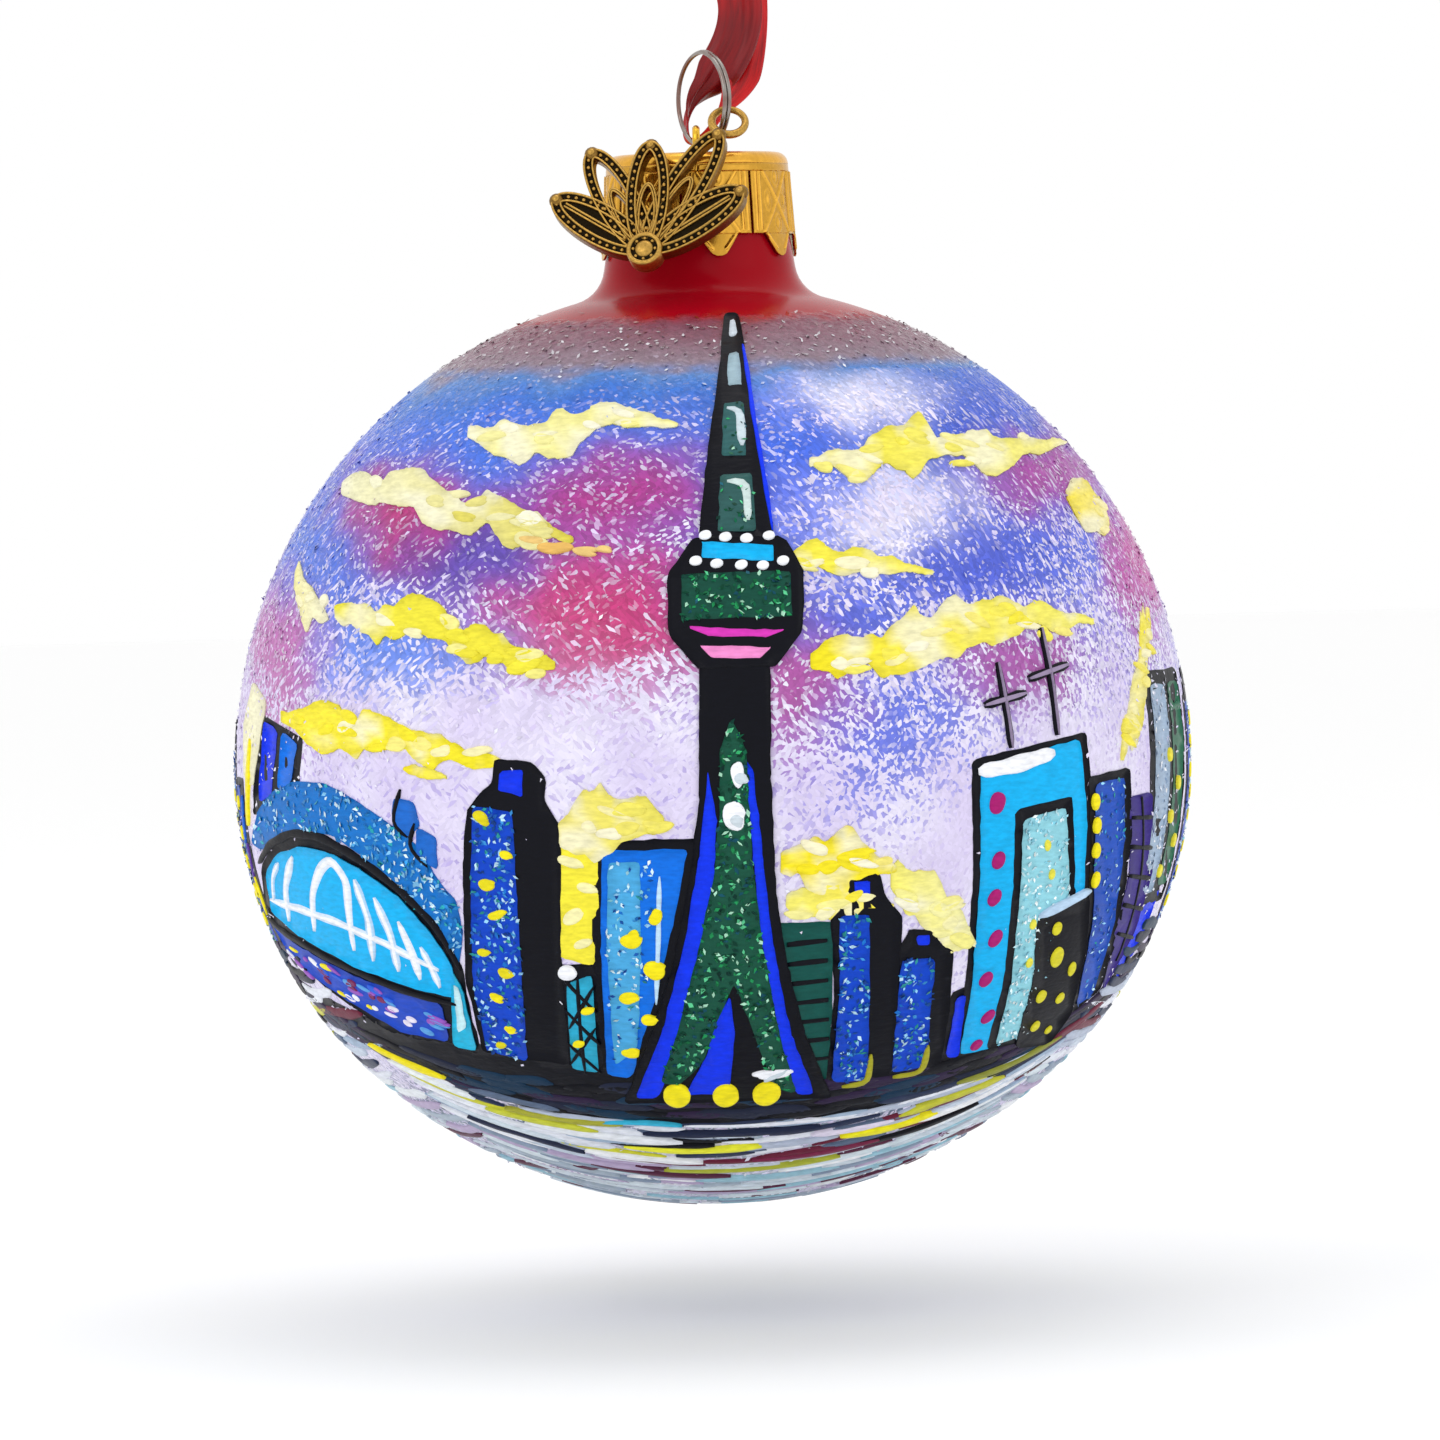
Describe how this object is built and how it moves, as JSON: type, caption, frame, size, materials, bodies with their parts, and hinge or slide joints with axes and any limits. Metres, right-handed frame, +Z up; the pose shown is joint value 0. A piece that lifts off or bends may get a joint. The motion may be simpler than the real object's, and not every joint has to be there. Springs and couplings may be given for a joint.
{
  "type": "hanging ball ornament",
  "caption": "Painted glass ball ornament with a stamped metal cap, wire hanger, split ring, filigree charm and ribbon loop.",
  "frame": {"origin": "the point that a hook or twig carries, inside the ribbon loop just under its knot", "axes": "+Z up along the axis of the ball and cap, -Y towards the side that the charm hangs on, +X to the right of that side"},
  "size_m": [0.1, 0.1, 0.1548],
  "materials": {
    "painted_glass": "hand painted, glittered, glossy",
    "cap_metal": "stamped and polished",
    "spring_wire": "drawn wire",
    "ring_steel": "plated wire",
    "charm_metal": "antiqued cast metal",
    "satin_ribbon": "satin weave"
  },
  "bodies": {
    "ribbon": {"ribbon": "satin_ribbon", "ribbon_knot": "satin_ribbon"},
    "cap": {"cap": "cap_metal", "hanger_wire": "spring_wire"},
    "ball": {"glass_ball": "painted_glass"},
    "ring": {"split_ring": "ring_steel"},
    "charm": {"charm": "charm_metal"}
  },
  "joints": [
    {"name": "swing_on_ribbon", "type": "hinge", "parent": "ribbon", "child": "cap", "pos_m": [0, 0, -0.0319], "axis": [0, 1, 0], "range_deg": [-45, 45]},
    {"name": "ball_pull", "type": "slide", "parent": "cap", "child": "ball", "axis": [0, 0, -1], "range_m": [0, 0.022]},
    {"name": "ring_tilt", "type": "hinge", "parent": "cap", "child": "ring", "pos_m": [0, 0, -0.0336], "axis": [0, 1, 0], "range_deg": [-15, 10]},
    {"name": "charm_swing", "type": "hinge", "parent": "ring", "child": "charm", "pos_m": [0.0034, -0.0083, -0.0314], "axis": [-0.9781, 0.2079, 0], "range_deg": [0, 60]}
  ]
}
